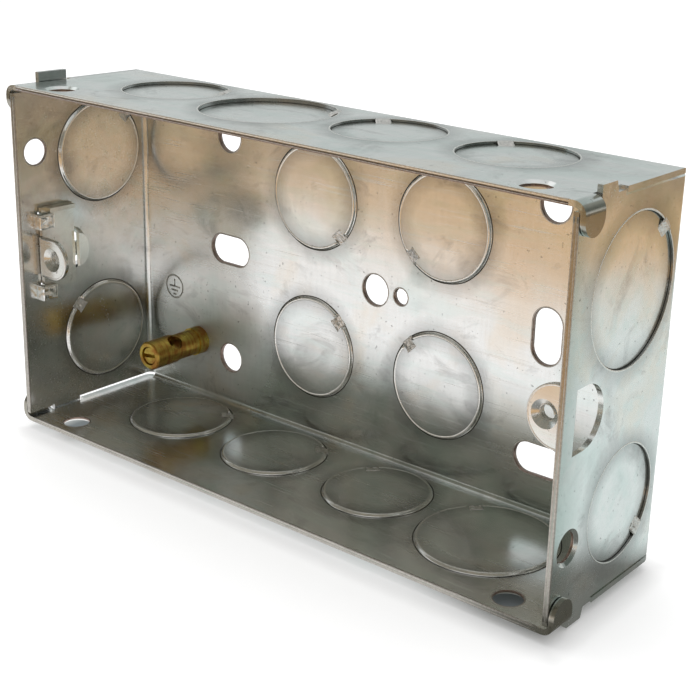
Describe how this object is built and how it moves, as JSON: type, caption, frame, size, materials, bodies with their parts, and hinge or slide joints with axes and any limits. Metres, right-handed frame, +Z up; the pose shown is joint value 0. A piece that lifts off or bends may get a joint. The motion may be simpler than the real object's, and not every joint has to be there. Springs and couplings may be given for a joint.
{
  "type": "metal back box",
  "caption": "Wide shallow folded-steel flush back box, open at the front, with round knockouts, slotted fixing holes, a fixed and an adjustable screw lug and a brass earth terminal.",
  "frame": {"origin": "middle of the back plate's outer face, half way along the box and half way up it", "axes": "+X along the box to the right seen from the open front, +Y out of the back into the wall, +Z up"},
  "size_m": [0.1342, 0.035, 0.0758],
  "materials": {
    "galvanised_steel": "bright galvanised sheet",
    "plated_steel": "zinc plated",
    "brass": "turned brass",
    "screw_brass": "turned brass"
  },
  "bodies": {
    "box": {"box_body": "galvanised_steel", "earth_terminal_pillar": "brass"},
    "lug": {"adjustable_lug": "plated_steel"},
    "terminal_screw": {"earth_terminal_screw": "screw_brass"}
  },
  "joints": [
    {"name": "lug_slide", "type": "slide", "parent": "box", "child": "lug", "axis": [0, 0, 1], "range_m": [-0.0003, 0.0015]},
    {"name": "screw_advance", "type": "slide", "parent": "box", "child": "terminal_screw", "axis": [0, 1, 0], "range_m": [-0.0015, 0.003]}
  ]
}
